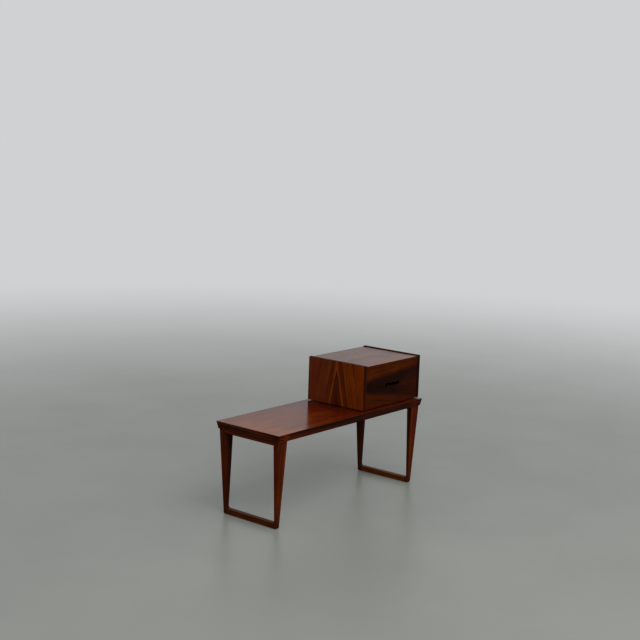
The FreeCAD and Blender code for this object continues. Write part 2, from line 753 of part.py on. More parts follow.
def make_drawer(drawer, run_level, side_top, front_span, pull):
    """One drawer: a front with dovetailed sides, a housed back and a grooved-in bottom."""
    bottom_low = f"({run_level} + Sizes.drawer_bottom_height)"
    bottom_high = f"({bottom_low} + Sizes.drawer_bottom_thickness)"
    inner_left = f"({DRAWER_LEFT} + Sizes.drawer_side_thickness)"
    inner_right = f"({DRAWER_RIGHT} - Sizes.drawer_side_thickness)"
    bottom = block(
        f"{drawer}_bottom_board",
        (f"({inner_left} - Sizes.drawer_bottom_groove)", f"({inner_right} + Sizes.drawer_bottom_groove)"),
        (f"({FRONT_REAR} - Sizes.drawer_bottom_groove)", DRAWER_BACK_REAR),
        (bottom_low, bottom_high),
    )
    back = block(
        f"{drawer}_back_board",
        (f"({inner_left} - Sizes.drawer_back_housing)", f"({inner_right} + Sizes.drawer_back_housing)"),
        (DRAWER_BACK_FRONT, DRAWER_BACK_REAR),
        (bottom_high, f"({side_top} - Sizes.drawer_back_drop)"),
    )
    tails = []
    for end, span in (("left", (DRAWER_LEFT, inner_left)), ("right", (inner_right, DRAWER_RIGHT))):
        side_tails = dovetails(f"{drawer}_{end}_tail", span[0], run_level, side_top)
        board = block(f"{drawer}_{end}_board", span, (FRONT_REAR, DRAWER_REAR), (run_level, side_top))
        side_blank = joined(f"{drawer}_{end}_blank", [board] + side_tails)
        piece(f"{drawer}_{end}_side", cut(f"{drawer}_{end}_side_cut", side_blank, [bottom, back]))
        tails += side_tails
    front_blank = block(
        f"{drawer}_front_blank", (DRAWER_LEFT, DRAWER_RIGHT), (FRONT_FACE, FRONT_REAR), front_span,
    )
    piece(f"{drawer}_front", cut(f"{drawer}_front_cut", front_blank, tails + [bottom, pull]))
    piece(f"{drawer}_back", back)
    piece(f"{drawer}_bottom", bottom)


def make_drawers():
    """Both drawers, the lower one on the case bottom and the upper one on the divider."""
    pull = pull_slot()
    make_drawer(
        "lower_drawer",
        f"({CASE_BOTTOM_FACE} + Sizes.drawer_run_gap)",
        f"({DIVIDER_UNDERSIDE} - Sizes.drawer_head_gap)",
        (FRONTS_BOTTOM, f"({FRONTS_MIDDLE} - Sizes.front_gap / 2)"),
        pull,
    )
    make_drawer(
        "upper_drawer",
        f"({DIVIDER_FACE} + Sizes.drawer_run_gap)",
        f"({CASE_TOP_UNDERSIDE} - Sizes.drawer_head_gap)",
        (f"({FRONTS_MIDDLE} + Sizes.front_gap / 2)", FRONTS_TOP),
        pull,
    )


def check_model():
    """Stop if any object failed or any piece is empty or unsound."""
    for item in document.Objects:
        if "Invalid" in item.State or "Error" in item.State:
            raise RuntimeError(f"{item.Label} did not recompute: {item.State}")
    for item in pieces:
        if item.Shape.isNull() or not item.Shape.isValid() or not item.Shape.Solids:
            raise RuntimeError(f"{item.Label} has no sound shape")


def write_pieces():
    """Write one file for each piece, named after it."""
    os.makedirs("parts", exist_ok=True)
    for item in pieces:
        item.Shape.exportStep(f"parts/{item.Label}.step")


frame_screw_holes = make_leg_frames()
case_screw_holes = make_case()
make_seat(case_screw_holes, frame_screw_holes)
make_drawers()
document.recompute()
check_model()
write_pieces()
print(len(pieces), "pieces written")
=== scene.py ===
"""The looks of a telephone bench: rosewood rails and veneers, plain drawer boxes and slotted screws.

Lengths are in metres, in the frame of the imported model: X runs along the seat, -Y is the front, Z is up.
"""
import json
import math

import bmesh
import bpy
from mathutils import Matrix, Vector
from mathutils.bvhtree import BVHTree

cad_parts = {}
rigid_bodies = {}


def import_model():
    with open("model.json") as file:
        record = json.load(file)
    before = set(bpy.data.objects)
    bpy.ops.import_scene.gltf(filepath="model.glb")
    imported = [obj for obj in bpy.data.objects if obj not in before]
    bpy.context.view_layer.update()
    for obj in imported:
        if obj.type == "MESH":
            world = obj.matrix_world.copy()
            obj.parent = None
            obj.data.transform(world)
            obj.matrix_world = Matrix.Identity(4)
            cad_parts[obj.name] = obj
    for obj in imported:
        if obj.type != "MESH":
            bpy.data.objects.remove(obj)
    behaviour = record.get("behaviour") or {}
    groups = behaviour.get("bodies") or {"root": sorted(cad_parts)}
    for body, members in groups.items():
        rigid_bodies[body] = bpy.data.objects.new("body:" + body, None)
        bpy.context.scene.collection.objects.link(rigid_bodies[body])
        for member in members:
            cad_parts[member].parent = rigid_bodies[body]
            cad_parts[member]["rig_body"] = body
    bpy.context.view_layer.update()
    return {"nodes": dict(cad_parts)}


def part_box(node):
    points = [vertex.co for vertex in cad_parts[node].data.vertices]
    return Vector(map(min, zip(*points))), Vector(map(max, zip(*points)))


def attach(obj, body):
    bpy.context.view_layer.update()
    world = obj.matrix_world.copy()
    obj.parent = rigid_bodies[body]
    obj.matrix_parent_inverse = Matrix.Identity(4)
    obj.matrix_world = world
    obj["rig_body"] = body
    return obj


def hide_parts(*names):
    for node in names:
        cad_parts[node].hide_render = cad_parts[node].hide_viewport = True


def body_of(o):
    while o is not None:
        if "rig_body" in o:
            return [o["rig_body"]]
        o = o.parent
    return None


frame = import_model()

ALONG_X, ALONG_Y, ALONG_Z = Vector((1, 0, 0)), Vector((0, 1, 0)), Vector((0, 0, 1))
ENDS = (("left", -1), ("right", 1))
LONG_SIDES = (("front", -1), ("back", 1))
DRAWERS = ("upper_drawer", "lower_drawer")


# Small helpers for objects and node trees

def new_object(name, data):
    """An object in the scene with the given mesh, lamp or camera."""
    item = bpy.data.objects.new(name, data)
    bpy.context.scene.collection.objects.link(item)
    return item


def paint(red, green, blue):
    """A colour as it looks on a screen, 0 to 255 each, as the linear colour that a node takes."""
    def linear(level):
        share = level / 255
        return share / 12.92 if share <= 0.04045 else ((share + 0.055) / 1.055) ** 2.4
    return (linear(red), linear(green), linear(blue), 1.0)


class Nodes:
    """Adds nodes to one tree and joins them.

    A value may be a plain number, a vector, a colour or another node's output.
    """

    def __init__(self, tree):
        self.tree = tree

    def add(self, kind, **settings):
        node = self.tree.nodes.new(kind)
        for name, value in settings.items():
            setattr(node, name, value)
        return node

    def feed(self, socket, value):
        if isinstance(value, bpy.types.NodeSocket):
            self.tree.links.new(value, socket)
        else:
            socket.default_value = value

    def made(self, kind, settings, **values):
        """A node with settings and with values for its inputs, which are named in plain words."""
        node = self.add(kind, **settings)
        for name, value in values.items():
            self.feed(node.inputs[name.replace("_", " ").title()], value)
        return node

    def maths(self, operation, *values, clamp=False):
        node = self.add("ShaderNodeMath", operation=operation, use_clamp=clamp)
        for socket, value in zip(node.inputs, values):
            self.feed(socket, value)
        return node.outputs[0]

    def vectors(self, operation, *values):
        node = self.add("ShaderNodeVectorMath", operation=operation)
        for socket, value in zip(node.inputs, values):
            self.feed(socket, value)
        single = operation in ("LENGTH", "DOT_PRODUCT")
        return node.outputs["Value" if single else "Vector"]

    def stretched(self, point, factors):
        """The point with each coordinate multiplied by its factor."""
        return self.vectors("MULTIPLY", point, factors)

    def noise(self, point, detail, roughness=0.5, scale=1.0, output="Fac"):
        node = self.made(
            "ShaderNodeTexNoise", {"noise_dimensions": "3D"},
            vector=point, scale=scale, detail=detail, roughness=roughness,
        )
        return node.outputs[output]

    def eased(self, value, low, high, low_result=0.0, high_result=1.0, kind="SMOOTHSTEP"):
        """A step from one result to the other as the value goes from low to high."""
        node = self.add("ShaderNodeMapRange", interpolation_type=kind)
        for socket, entry in zip(node.inputs, (value, low, high, low_result, high_result)):
            self.feed(socket, entry)
        return node.outputs[0]

    def blend(self, share, first, second, mode="MIX"):
        """Two colours mixed. The node's sockets for colours come after those for numbers and vectors."""
        node = self.add("ShaderNodeMix", data_type="RGBA", blend_type=mode)
        self.feed(node.inputs[0], share)
        self.feed(node.inputs[6], first)
        self.feed(node.inputs[7], second)
        return node.outputs[2]

    def ramp(self, value, stops):
        """Colours at places in rising order, which need not run from 0 to 1."""
        low, high = stops[0][0], stops[-1][0]
        node = self.add("ShaderNodeValToRGB")
        self.feed(node.inputs[0], self.eased(value, low, high, kind="LINEAR"))
        elements = node.color_ramp.elements
        while len(elements) < len(stops):
            elements.new(0.5)
        for element, (position, colour) in zip(elements, stops):
            element.position = (position - low) / (high - low)
            element.color = colour
        return node.outputs[0]

    def group(self, tree, **values):
        return self.made("ShaderNodeGroup", {"node_tree": tree}, **values).outputs

    def bump(self, height, strength, distance):
        return self.made(
            "ShaderNodeBump", {}, height=height, strength=strength, distance=distance,
        ).outputs[0]

    def shader(self, index=None, **values):
        """A surface of a given colour, roughness and so on. The index is that of refraction."""
        node = self.made("ShaderNodeBsdfPrincipled", {}, **values)
        if index:
            node.inputs["IOR"].default_value = index
        return node.outputs[0]


def new_group(name, inputs, outputs):
    """An empty node group with named inputs and outputs, and its two end nodes."""
    tree = bpy.data.node_groups.new(name, "ShaderNodeTree")
    for title, kind, value in inputs:
        socket = tree.interface.new_socket(title, in_out="INPUT", socket_type=f"NodeSocket{kind}")
        socket.default_value = value
    for title, kind in outputs:
        tree.interface.new_socket(title, in_out="OUTPUT", socket_type=f"NodeSocket{kind}")
    nodes = Nodes(tree)
    return tree, nodes, nodes.add("NodeGroupInput").outputs, nodes.add("NodeGroupOutput").inputs


def new_material(name):
    """An empty material, with its nodes and the output's surface socket."""
    material = bpy.data.materials.new(name)
    material.use_nodes = True
    material.node_tree.nodes.clear()
    nodes = Nodes(material.node_tree)
    return material, nodes, nodes.add("ShaderNodeOutputMaterial").inputs["Surface"]


# Wood: a board is a piece of a log, so its pattern comes from its place in the log's rings

# How fine the patterns are per metre: twice across the log and once along it
BENDS, MOTTLING, FIBRES, PORES = (9, 9, 2.2), (30, 30, 12), (1500, 1500, 32), (2300, 2300, 75)
# Bands and streaks: per ring across the log, and per unit along it, of which a metre has this many
UNITS_ALONG = 1.6
BANDS, STREAKS = (0.28, 0.6, 1), (1.6, 1.3, 1)
# A pore is where the noise of the pores is high: where it begins and where it is full
PORE_BEGINS, PORE_FULL = 0.63, 0.72


def make_log_group():
    """Growth rings, fibres and pores at a point of a log whose pith runs along Z."""
    tree, nodes, given, result = new_group(
        "log",
        [
            ("Point", "Vector", (0, 0, 0)),
            ("Ring Width", "Float", 0.006),
            ("Waviness", "Float", 0.004),
            ("Narrowing", "Float", 0.0),
        ],
        [
            ("Depth", "Float"), ("Band", "Float"), ("Streak", "Float"), ("Mottle", "Float"),
            ("Fibre", "Float"), ("Pore", "Float"),
        ],
    )
    bends = nodes.noise(nodes.stretched(given["Point"], BENDS), detail=2.0, output="Color")
    shift = nodes.vectors("SUBTRACT", bends, (0.5, 0.5, 0.5))
    shift = nodes.vectors("SCALE", shift)
    nodes.feed(shift.node.inputs["Scale"], nodes.maths("MULTIPLY", given["Waviness"], 2.0))
    bent = nodes.vectors("ADD", given["Point"], shift)
    across = nodes.vectors("LENGTH", nodes.stretched(bent, (1, 1, 0)))
    parts = nodes.add("ShaderNodeSeparateXYZ")
    nodes.feed(parts.inputs[0], bent)
    depth = nodes.maths("MULTIPLY_ADD", parts.outputs[2], given["Narrowing"], across)
    ring = nodes.maths("DIVIDE", depth, given["Ring Width"])
    along = nodes.add("ShaderNodeCombineXYZ")
    nodes.feed(along.inputs[0], ring)
    nodes.feed(along.inputs[1], nodes.maths("MULTIPLY", parts.outputs[2], UNITS_ALONG))
    band = nodes.noise(nodes.stretched(along.outputs[0], BANDS), detail=2.0, roughness=0.55)
    streak = nodes.noise(nodes.stretched(along.outputs[0], STREAKS), detail=4.0, roughness=0.62)
    mottle = nodes.noise(nodes.stretched(bent, MOTTLING), detail=3.0, roughness=0.55)
    fibre = nodes.noise(nodes.stretched(bent, FIBRES), detail=3.0, roughness=0.6)
    pore_place = nodes.noise(nodes.stretched(bent, PORES), detail=1.0, roughness=0.4)
    pore = nodes.eased(pore_place, PORE_BEGINS, PORE_FULL)
    for socket, value in zip(result, (depth, band, streak, mottle, fibre, pore)):
        nodes.feed(socket, value)
    return tree


def make_edge_group():
    """How far a point on a board is from the nearest of its arrises."""
    tree, nodes, given, result = new_group(
        "edge_distance",
        [
            ("Point", "Vector", (0, 0, 0)),
            ("Low Corner", "Vector", (0, 0, 0)),
            ("High Corner", "Vector", (1, 1, 1)),
        ],
        [("Distance", "Float")],
    )
    nearest = nodes.vectors(
        "MINIMUM",
        nodes.vectors("SUBTRACT", given["Point"], given["Low Corner"]),
        nodes.vectors("SUBTRACT", given["High Corner"], given["Point"]),
    )
    gaps = nodes.add("ShaderNodeSeparateXYZ")
    nodes.feed(gaps.inputs[0], nearest)
    first, second, third = gaps.outputs
    smaller = nodes.maths("MINIMUM", first, second)
    larger = nodes.maths("MAXIMUM", first, second)
    nodes.feed(result["Distance"], nodes.maths("MAXIMUM", smaller, nodes.maths("MINIMUM", larger, third)))
    return tree


log_group = make_log_group()
edge_group = make_edge_group()


def log_point(nodes, grain, pith):
    """A place on the bench, and the same place in the log: Z along the grain, from a point of the pith."""
    place = nodes.add("ShaderNodeTexCoord").outputs["Object"]
    moved = nodes.vectors("SUBTRACT", place, tuple(pith))
    mapping = nodes.add("ShaderNodeMapping")
    nodes.feed(mapping.inputs["Vector"], moved)
    mapping.inputs["Rotation"].default_value = grain.to_track_quat("Z", "X").inverted().to_euler()
    return place, mapping.outputs[0]


def edge_distance(nodes, place, board):
    """How far a place on a board is from the nearest arris of the board's box."""
    low, high = (tuple(corner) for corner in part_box(board))
    return nodes.group(edge_group, point=place, low_corner=low, high_corner=high)["Distance"]


def facing(nodes, direction):
    """1 where the surface looks along a direction or against it, 0 where it runs along it."""
    normal = nodes.add("ShaderNodeTexCoord").outputs["Normal"]
    return nodes.maths("ABSOLUTE", nodes.vectors("DOT_PRODUCT", normal, tuple(direction)))


GOLDEN = paint(98, 38, 3)
RED_BROWN = paint(74, 21, 3)
MAUVE_BROWN = paint(54, 18, 9)
HEART = paint(35, 13, 6)
BLACK_VEIN = paint(15, 6, 3)

# Indices of refraction of the two finishes, low enough to leave the wood's own colour on upright faces
OILED, POLISHED = 1.08, 1.22

# Factors for red, green and blue, over the streaks, the mottling and the fibres
STREAK_SHADES = [
    (0.34, (1.30, 1.26, 1.10, 1)), (0.50, (1.00, 1.00, 1.00, 1)), (0.62, (0.55, 0.52, 0.60, 1)),
]
MOTTLE_SHADES = [
    (0.30, (0.80, 0.76, 0.84, 1)), (0.50, (1.00, 1.00, 1.00, 1)), (0.70, (1.18, 1.22, 1.00, 1)),
]
FIBRE_SHADES = [
    (0.25, (0.72, 0.70, 0.68, 1)), (0.55, (1.00, 1.00, 1.00, 1)), (0.80, (1.22, 1.20, 1.15, 1)),
]

# Where dark veins and light streaks begin and where they are full, over the streaks
VEIN_BEGINS, VEIN_FULL = 0.56, 0.72
LIGHT_BEGINS, LIGHT_FULL = 0.46, 0.30

# How much of their colour light streaks, pores, lippings and the lightest and darkest end grain take
LIGHT_SHARE, PORE_SHARE, LIPPING_SHARE, END_SHARES = 0.35, 0.65, 0.75, (0.45, 0.9)

# How fine the end grain's speckle, the wear of the arrises and the smudges of the finish are
SPECKLE_SCALE, WEAR_SCALE, SMUDGE_SCALE = 260.0, 55.0, 9.0

# What pores, end grain and worn arrises add to the roughness
ROUGH_PORES, ROUGH_ENDS, ROUGH_WEAR = 0.2, 0.12, 0.08

# Depths of the bumps at full strength
ROSEWOOD_RELIEF, PLAIN_WOOD_RELIEF, STEEL_RELIEF = 0.00012, 0.00015, 0.00005

# A worn arris has a light rim, as wide as the first length times a patchy noise, less the second one
WORN_RIM, WORN_GAP = 0.009, 0.0015
# Soil reaches this far in from the arrises of an unfinished board
SOILED_RIM = 0.016
PLY_THICKNESS = 0.001


def figure_of(nodes, place, log, bands, rings, fray, tones):
    """A board's broad colours: its bands or its rings, with the tones over them."""
    if rings:
        wander = nodes.maths("SUBTRACT", log["Streak"], 0.5)
        colour = nodes.ramp(nodes.maths("MULTIPLY_ADD", wander, fray, log["Depth"]), rings)
    else:
        colour = nodes.ramp(log["Band"], bands)
    for direction, start, end, tone, share in tones:
        wander = nodes.maths("SUBTRACT", log["Band"], 0.5)
        reach = nodes.vectors("DOT_PRODUCT", place, tuple(direction))
        reach = nodes.maths("MULTIPLY_ADD", wander, end - start, reach)
        colour = nodes.blend(nodes.eased(reach, start, end, 0.0, share), colour, tone)
    return colour


def grained(nodes, log, colour, streaks, light):
    """A colour with the fine grain in it: dark and light streaks, mottling, fibres and pores."""
    vein = nodes.maths("MULTIPLY", nodes.eased(log["Streak"], VEIN_BEGINS, VEIN_FULL), streaks)
    colour = nodes.blend(vein, colour, BLACK_VEIN)
    bright = nodes.eased(log["Streak"], LIGHT_BEGINS, LIGHT_FULL, 0.0, LIGHT_SHARE)
    colour = nodes.blend(bright, colour, light, mode="LIGHTEN")
    for title, share, shades in (
        ("Streak", streaks, STREAK_SHADES), ("Mottle", 1.0, MOTTLE_SHADES), ("Fibre", 1.0, FIBRE_SHADES),
    ):
        colour = nodes.blend(share, colour, nodes.ramp(log[title], shades), mode="MULTIPLY")
    return nodes.blend(nodes.maths("MULTIPLY", log["Pore"], PORE_SHARE), colour, BLACK_VEIN)


def finished_wood(name, board, grain, pith, bands=None, rings=None, ring_width=0.006, waviness=0.004,
                  narrowing=0.0, fray=0.005, streaks=0.7, tones=(), light=GOLDEN, lipped=None,
                  lipping=None, wear=0.22, gloss=OILED, polish=0.30, relief=0.25):
    """Rosewood under a satin finish.

    The figure is a row of colours over the log's broad bands, or over the depth in the log, in metres,
    where fray is how far its borders run into each other.
    Tones are broad changes of colour along a direction, some of the wood and some painted light and shade:
    (direction, start, end, colour, share).
    A board lipped along a direction shows the lipping on every side but the two that look along it.
    Gloss is an index of refraction, polish a roughness and relief the strength of the bump.
    """
    material, nodes, surface = new_material(name)
    place, point = log_point(nodes, grain, pith)
    log = nodes.group(
        log_group, point=point, ring_width=ring_width, waviness=waviness, narrowing=narrowing,
    )
    colour = figure_of(nodes, place, log, bands, rings, fray, tones)
    colour = grained(nodes, log, colour, streaks, light)
    if lipped:
        on_lipping = nodes.eased(facing(nodes, lipped), 0.6, 0.3, 0.0, LIPPING_SHARE)
        colour = nodes.blend(on_lipping, colour, lipping)
    end_grain = nodes.eased(facing(nodes, grain), 0.75, 0.95)
    speckle = nodes.noise(place, scale=SPECKLE_SCALE, detail=3.0, roughness=0.6)
    dark_end = nodes.maths("MULTIPLY", end_grain, nodes.eased(speckle, 0.35, 0.65, *END_SHARES))
    colour = nodes.blend(dark_end, colour, BLACK_VEIN)
    patchy = nodes.noise(place, scale=WEAR_SCALE, detail=3.0, roughness=0.6)
    rim = nodes.maths("MULTIPLY_ADD", patchy, WORN_RIM, -WORN_GAP)
    worn = nodes.maths("DIVIDE", edge_distance(nodes, place, board), rim)
    worn = nodes.maths("SUBTRACT", 1.0, worn, clamp=True)
    colour = nodes.blend(nodes.maths("MULTIPLY", worn, wear), colour, light)

    smudge = nodes.noise(place, scale=SMUDGE_SCALE, detail=3.0)
    roughness = nodes.eased(smudge, 0.25, 0.75, polish - 0.02, polish + 0.03)
    for cause, added in ((log["Pore"], ROUGH_PORES), (end_grain, ROUGH_ENDS), (worn, ROUGH_WEAR)):
        roughness = nodes.maths("MULTIPLY_ADD", cause, added, roughness)

    height = nodes.maths("SUBTRACT", nodes.maths("MULTIPLY", log["Fibre"], 0.35), log["Pore"])
    nodes.feed(surface, nodes.shader(
        index=gloss, base_color=colour, roughness=roughness,
        normal=nodes.bump(height, relief, ROSEWOOD_RELIEF),
    ))
    return material


def plain_board(name, board, grain, pith, pale, dark, layered=None):
    """Sanded wood without a finish, or plywood with its layers across one axis."""
    material, nodes, surface = new_material(name)
    place, point = log_point(nodes, grain, pith)
    log = nodes.group(log_group, point=point, ring_width=0.004, waviness=0.003, narrowing=0.05)
    colour = nodes.ramp(log["Streak"], [(0.30, pale), (0.55, pale), (0.72, dark)])
    colour = nodes.blend(nodes.maths("MULTIPLY", log["Pore"], 0.35), colour, dark)
    if layered:
        on_edge = nodes.eased(facing(nodes, layered), 0.6, 0.2)
        level = nodes.vectors("DOT_PRODUCT", place, tuple(layered))
        ply = nodes.maths("PINGPONG", nodes.maths("MULTIPLY", level, 1 / PLY_THICKNESS), 1.0)
        dark_ply = nodes.maths("MULTIPLY", on_edge, nodes.eased(ply, 0.4, 0.6))
        colour = nodes.blend(dark_ply, colour, dark, mode="MULTIPLY")
    patchy = nodes.noise(place, scale=40.0, detail=4.0, roughness=0.65)
    soil = nodes.eased(edge_distance(nodes, place, board), SOILED_RIM, 0.0, 0.0, 0.4)
    soil = nodes.maths("MULTIPLY", soil, nodes.eased(patchy, 0.3, 0.75))
    colour = nodes.blend(soil, colour, dark, mode="MULTIPLY")
    nodes.feed(surface, nodes.shader(
        base_color=colour, roughness=nodes.eased(patchy, 0.2, 0.8, 0.55, 0.72),
        normal=nodes.bump(log["Fibre"], 0.4, PLAIN_WOOD_RELIEF),
    ))
    return material


def screw_steel():
    """Dull zinc-coated steel with tarnish and fine scratches."""
    material, nodes, surface = new_material("screw_steel")
    place = nodes.add("ShaderNodeTexCoord").outputs["Object"]
    tarnish = nodes.noise(place, scale=420.0, detail=4.0, roughness=0.65)
    scratch = nodes.noise(nodes.stretched(place, (5200, 700, 700)), detail=2.0)
    colour = nodes.ramp(tarnish, [
        (0.30, paint(92, 84, 74)), (0.55, paint(158, 153, 144)), (0.80, paint(186, 182, 174)),
    ])
    nodes.feed(surface, nodes.shader(
        metallic=1.0, base_color=colour, roughness=nodes.eased(tarnish, 0.2, 0.8, 0.55, 0.32),
        normal=nodes.bump(scratch, 0.3, STEEL_RELIEF),
    ))
    return material


# Boards: each solid has its free arrises eased, and keeps them crisp where it meets another piece

SAME_POINT = 0.000001
FLAT = math.radians(0.4)
SHARP = math.radians(25)
LOOKS_UP = 0.9
CRISP_ARRIS = 0.00012
ARRIS_FACETS = 3
# A neighbour is looked for a step beside an edge, and lies there if it comes nearer than touching
BESIDE = 0.001
TOUCHING = 0.00005


def merged(node):
    """A node's loose triangles joined up to closed solids."""
    solid = bmesh.new()
    solid.from_mesh(frame["nodes"][node].data)
    bmesh.ops.remove_doubles(solid, verts=solid.verts, dist=SAME_POINT)
    return solid


def search_trees():
    """For each node its box and a tree of its triangles, to ask whether a point lies on it."""
    found = {}
    for node, item in frame["nodes"].items():
        points = [vertex.co.copy() for vertex in item.data.vertices]
        faces = [tuple(face.vertices) for face in item.data.polygons]
        found[node] = (*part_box(node), BVHTree.FromPolygons(points, faces))
    return found


trees = search_trees()


def piece_at(point, own_node):
    """The name of the other piece of the bench that a point lies on, if there is one."""
    for node, (low, high, tree) in trees.items():
        inside = all(low[axis] - TOUCHING <= point[axis] <= high[axis] + TOUCHING for axis in range(3))
        if node != own_node and inside and tree.find_nearest(point, TOUCHING)[0] is not None:
            return node
    return None


def piece_beside(edge, own_node):
    """The other piece that covers one of the faces right beside an edge. An edge without one is free."""
    for loop in edge.link_loops:
        along = loop.link_loop_next.vert.co - loop.vert.co
        inward = loop.face.normal.cross(along).normalized()
        middle = loop.vert.co + along / 2
        other = piece_at(middle + inward * BESIDE, own_node)
        if other:
            return other
    return None


def share_of_arris(edge, own_node, arris):
    """How much of the full rounding an edge gets.

    A free edge gets all of it, one in a joint just enough to catch the light, one at a screw's head none.
    """
    other = piece_beside(edge, own_node)
    if other is None:
        return 1.0
    return 0.0 if other.endswith("_screws") else CRISP_ARRIS / arris


def finish_piece(piece, node):
    """The piece stands for the node: it rides on the node's body, and the node is hidden."""
    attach(piece, body_of(frame["nodes"][node])[0])
    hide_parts(node)


def eased_board(node, arris, material, upper_material=None):
    """The finished piece for a node: its free arrises rounded to a radius, its joints left tight."""
    solid = merged(node)
    bmesh.ops.dissolve_limit(solid, angle_limit=FLAT, verts=solid.verts, edges=solid.edges)
    if upper_material:
        for face in solid.faces:
            face.material_index = 1 if face.normal.z > LOOKS_UP else 0
    weight = solid.edges.layers.float.new("bevel_weight_edge")
    for edge in solid.edges:
        sharp = len(edge.link_faces) == 2 and edge.calc_face_angle(0.0) > SHARP
        edge.smooth = not sharp
        if sharp and edge.is_convex:
            edge[weight] = share_of_arris(edge, node, arris)
    for face in solid.faces:
        face.smooth = True
    mesh = bpy.data.meshes.new(f"{node}_eased")
    solid.to_mesh(mesh)
    solid.free()
    piece = new_object(f"{node}_eased", mesh)
    mesh.materials.append(material)
    if upper_material:
        mesh.materials.append(upper_material)
    rounding = piece.modifiers.new("eased_arrises", "BEVEL")
    rounding.width = arris
    rounding.segments = ARRIS_FACETS
    rounding.limit_method = "WEIGHT"
    rounding.use_clamp_overlap = False
    rounding.harden_normals = True
    finish_piece(piece, node)


def pith_near(node, x, y, z):
    """A point of the pith of the log that a board is cut from, this far from the board's middle."""
    low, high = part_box(node)
    return (low + high) / 2 + Vector((x, y, z))


# Radii of the free arrises

LEG_ARRIS, RIM_ARRIS, SEAT_ARRIS = 0.0014, 0.0010, 0.0003
CASE_SIDE_ARRIS, CASE_TOP_ARRIS, EDGE_BAND_ARRIS, FRONT_ARRIS = 0.0008, 0.0006, 0.0006, 0.0005
PLAIN_ARRIS, PLYWOOD_ARRIS = 0.0005, 0.0003


# Solid rails and legs

RED_LEG = [(0.30, paint(38, 16, 8)), (0.42, paint(57, 22, 9)), (0.52, paint(79, 27, 5)), (0.66, GOLDEN)]
DARK_RAIL = [(0.30, BLACK_VEIN), (0.42, HEART), (0.56, MAUVE_BROWN), (0.70, RED_BROWN)]
BROWN_RAIL = [
    (0.30, paint(24, 11, 7)), (0.42, paint(45, 20, 11)), (0.56, paint(62, 27, 13)), (0.70, RED_BROWN),
]
FLOOR_RAILS = {
    "left": [
        (0.30, paint(38, 19, 9)), (0.42, paint(52, 25, 11)),
        (0.52, paint(66, 29, 9)), (0.66, paint(84, 36, 6)),
    ],
    "right": [
        (0.30, paint(52, 27, 10)), (0.42, paint(70, 36, 12)),
        (0.52, paint(86, 42, 10)), (0.66, paint(104, 48, 7)),
    ],
}
EDGE_BANDS = {
    "left": [(0.30, BLACK_VEIN), (0.45, paint(42, 13, 5)), (0.60, paint(66, 21, 4))],
    "right": [(0.30, BLACK_VEIN), (0.50, paint(22, 8, 5)), (0.66, paint(44, 15, 8))],
}
SEAT_BANDS = [
    (0.34, paint(56, 13, 5)), (0.45, paint(76, 17, 3)), (0.56, paint(88, 25, 2)), (0.64, paint(100, 36, 2)),
]

# Broad tones, some of the wood and some painted light and shade: the direction, where they start and are
# full along it, the colour and its share
BROWN_FOOT = (-ALONG_Z, -0.13, -0.04, paint(58, 29, 15), 0.5)
DARK_CORNER = (-ALONG_Y, 0.130, 0.165, BLACK_VEIN, 0.75)
GOLDEN_LEFT_END = (-ALONG_X, 0.450, 0.480, GOLDEN, 0.6)
RED_RIGHT_END = (ALONG_X, 0.425, 0.455, RED_BROWN, 0.5)
# Painted reflection: the tops of the seat and the rim are lighter towards the left end and the front left
# corner, for the pale room in their polish
REFLECTION_TOWARDS_LEFT_END = (-ALONG_X, -0.02, 0.40, paint(106, 50, 12), 0.55)
REFLECTION_AT_FRONT_LEFT = (Vector((-0.8, -0.6, 0)), 0.30, 0.50, paint(142, 74, 24), 0.5)
# The seat darkens to a deeper red towards the case: partly its own wood, partly painted shade beside the
# case
RED_AND_SHADE_BY_CASE = (ALONG_X, -0.10, 0.08, paint(48, 10, 2), 0.8)


def make_leg_frame(end, sign):
    """The two legs and two rails of the frame at one end. The back legs get painted shade on their inner
    face, under the seat.
    """
    for side, turn in LONG_SIDES:
        node = f"{end}_{side}_leg"
        tones = [BROWN_FOOT]
        if side == "back":
            inner_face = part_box(node)[0].y
            # Painted shade: the back leg's inner face and the sides next to it are darkened, for the seat's
            # shade over them
            tones.append((-ALONG_Y, -inner_face - 0.030, -inner_face - 0.012, HEART, 0.6))
        eased_board(node, LEG_ARRIS, finished_wood(
            f"{node}_rosewood", node, ALONG_Z, pith_near(node, 0.05 * sign, 0.09 * turn, 0),
            bands=RED_LEG, ring_width=0.005, waviness=0.006, tones=tones,
        ))
    for rail, lift, bands in (("floor_rail", -0.07, FLOOR_RAILS[end]), ("top_rail", 0.05, RED_LEG)):
        node = f"{end}_{rail}"
        eased_board(node, LEG_ARRIS, finished_wood(
            f"{node}_rosewood", node, ALONG_Y, pith_near(node, 0.03 * sign, 0, lift),
            bands=bands, ring_width=0.005,
        ))


def make_rim_rail(node, grain, pith, ring_width, bands, tones):
    """A rail of the seat's rim: dark outside, partly its wood and partly painted shade, and lighter and
    polished on top like the seat, with painted light and reflection there.
    """
    rosewood = finished_wood(
        f"{node}_rosewood", node, grain, pith, bands=bands, ring_width=ring_width, tones=tones,
    )
    # Painted light: the upper face takes the seat's lighter colours and painted reflection, lighter than
    # the outside faces
    upper = finished_wood(
        f"{node}_upper_face", node, grain, pith, bands=SEAT_BANDS, ring_width=ring_width, streaks=0.3,
        tones=[REFLECTION_TOWARDS_LEFT_END, REFLECTION_AT_FRONT_LEFT], wear=0.1, gloss=POLISHED, polish=0.16, relief=0.12,
    )
    eased_board(node, RIM_ARRIS, rosewood, upper)


